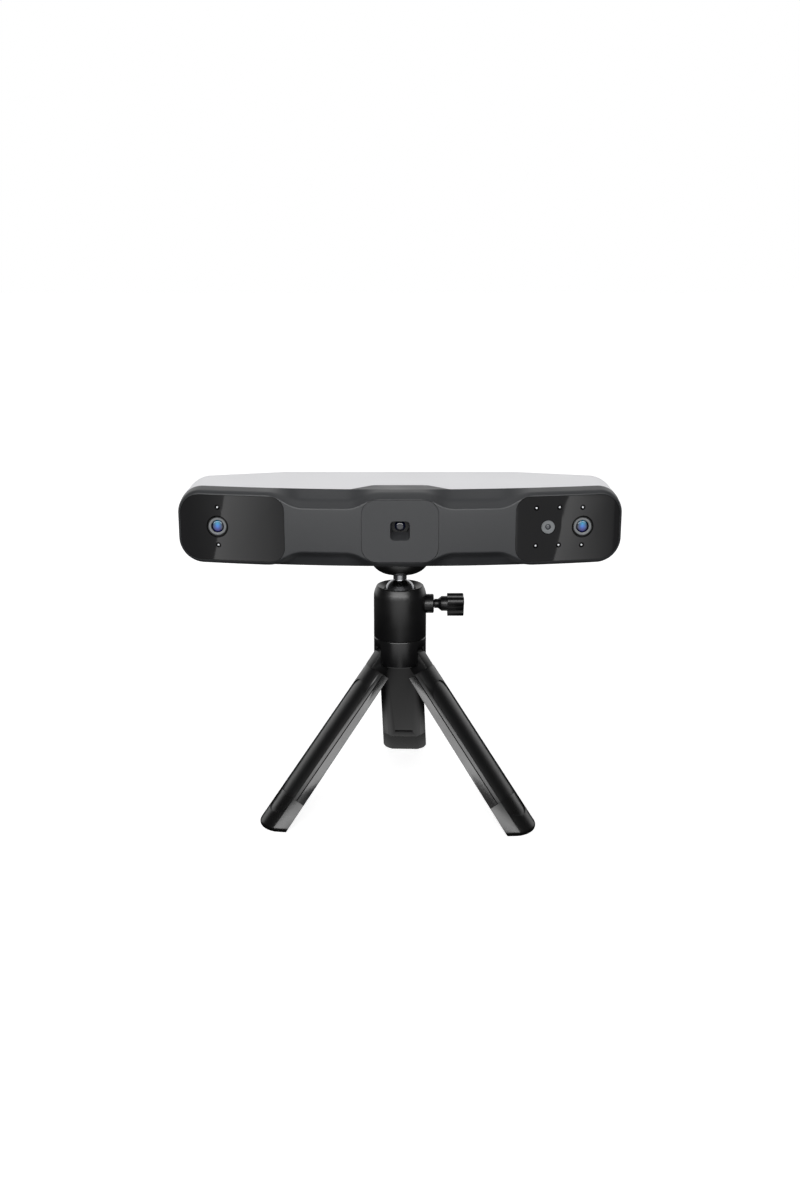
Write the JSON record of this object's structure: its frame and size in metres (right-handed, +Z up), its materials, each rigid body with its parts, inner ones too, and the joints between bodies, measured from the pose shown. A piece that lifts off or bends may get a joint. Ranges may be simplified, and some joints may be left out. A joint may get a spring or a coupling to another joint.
{
  "type": "desktop 3D scanner on a pocket tripod",
  "caption": "Desktop 3D scanner: a stereo scanning bar with camera windows on a folding pocket tripod with a ball head, a clamp knob and rear buttons.",
  "frame": {"origin": "on the floor under the middle of the whole outline; the tripod's column stands 10.797 mm in front of it", "axes": "+Z up; the scanner looks along -Y and +X is to the right of someone who faces it"},
  "size_m": [0.153, 0.089, 0.1204],
  "materials": {
    "shell_silver": "fine satin, anodised",
    "bezel_grey": "satin",
    "window_black": "polished, smoked",
    "panel_grey": "satin",
    "lens_glass": "coated",
    "optics_black": "matte",
    "led_clear": "clear dome",
    "bench_aluminium": "milled",
    "board_green": "solder mask",
    "chip_black": "moulded",
    "screw_steel": "plain",
    "ribbon_amber": "film",
    "button_grey": "satin",
    "light_guide": "frosted",
    "socket_steel": "drawn",
    "thread_brass": "turned",
    "tripod_black": "satin",
    "foot_rubber": "satin",
    "knob_black": "satin",
    "ball_steel": "turned",
    "pad_rubber": "matte"
  },
  "bodies": {
    "head": {"hub": "tripod_black", "hinge_pins": "screw_steel", "head_housing": "tripod_black", "clamp_collar": "knob_black", "spring_washer": "screw_steel", "head_grub_screw": "screw_steel"},
    "seat": {"ball_seat": "knob_black"},
    "ball": {"ball_stud": "ball_steel", "platform": "tripod_black", "platform_pad": "pad_rubber", "camera_screw": "screw_steel"},
    "scanner": {"rear_shell": "shell_silver", "front_bezel": "bezel_grey", "left_window": "window_black", "right_window": "window_black", "centre_panel": "panel_grey", "optical_bench": "bench_aluminium", "left_camera": "optics_black", "left_camera_lens": "lens_glass", "right_camera": "optics_black", "right_camera_lens": "lens_glass", "colour_camera": "optics_black", "colour_camera_lens": "lens_glass", "projector": "optics_black", "projector_lens": "lens_glass", "left_led_board": "chip_black", "right_led_board": "chip_black", "flash_leds": "led_clear", "infrared_leds": "led_clear", "main_board": "board_green", "board_chips": "chip_black", "heat_spreader": "bench_aluminium", "board_standoffs": "thread_brass", "small_screws": "screw_steel", "ribbon_cables": "ribbon_amber", "rear_board": "board_green", "tact_switches": "chip_black", "status_light": "light_guide", "usb_socket": "socket_steel", "thread_insert": "thread_brass"},
    "start_button": {"start_button": "button_grey"},
    "minus_button": {"minus_button": "button_grey"},
    "plus_button": {"plus_button": "button_grey"},
    "clamp_shoe": {"clamp_shoe": "screw_steel"},
    "clamp_knob": {"clamp_knob": "knob_black"},
    "left_leg": {"left_leg": "tripod_black", "left_foot": "foot_rubber"},
    "right_leg": {"right_leg": "tripod_black", "right_foot": "foot_rubber"},
    "rear_leg": {"rear_leg": "tripod_black", "rear_foot": "foot_rubber"}
  },
  "joints": [
    {"name": "head_swivel", "type": "hinge", "parent": "head", "child": "seat", "pos_m": [0, -0.0108, 0.0792], "axis": [0, 0, 1], "continuous": true},
    {"name": "head_tilt", "type": "hinge", "parent": "seat", "child": "ball", "pos_m": [0, -0.0108, 0.0792], "axis": [1, 0, 0], "range_deg": [-25, 25]},
    {"name": "scanner_pan", "type": "hinge", "parent": "ball", "child": "scanner", "pos_m": [0, -0.0108, 0.0936], "axis": [0, 0, 1], "continuous": true},
    {"name": "left_leg_fold", "type": "hinge", "parent": "head", "child": "left_leg", "pos_m": [-0.00519, -0.01352, 0.05655], "axis": [-0.4648, 0.8854, 0], "range_deg": [-38.8, 0]},
    {"name": "right_leg_fold", "type": "hinge", "parent": "head", "child": "right_leg", "pos_m": [0.00495, -0.01393, 0.05655], "axis": [-0.5344, -0.8453, 0], "range_deg": [-38.8, 0]},
    {"name": "rear_leg_fold", "type": "hinge", "parent": "head", "child": "rear_leg", "pos_m": [0.00024, -0.00494, 0.05655], "axis": [0.9992, -0.0401, 0], "range_deg": [-38.8, 0]},
    {"name": "clamp_travel", "type": "slide", "parent": "head", "child": "clamp_shoe", "axis": [1, 0, 0], "range_m": [0, 0.00105]},
    {"name": "clamp_turn", "type": "hinge", "parent": "clamp_shoe", "child": "clamp_knob", "pos_m": [0, -0.0108, 0.0758], "axis": [1, 0, 0], "range_deg": [0, 540]},
    {"name": "start_press", "type": "slide", "parent": "scanner", "child": "start_button", "axis": [0, -1, 0], "range_m": [0, 0.0006], "stiffness_N_per_m": 400},
    {"name": "minus_press", "type": "slide", "parent": "scanner", "child": "minus_button", "axis": [0, -1, 0], "range_m": [0, 0.0006], "stiffness_N_per_m": 400},
    {"name": "plus_press", "type": "slide", "parent": "scanner", "child": "plus_button", "axis": [0, -1, 0], "range_m": [0, 0.0006], "stiffness_N_per_m": 400}
  ],
  "couplings": [
    {"joint": "clamp_turn", "follows": "clamp_travel", "rad_per_m": 8976}
  ]
}
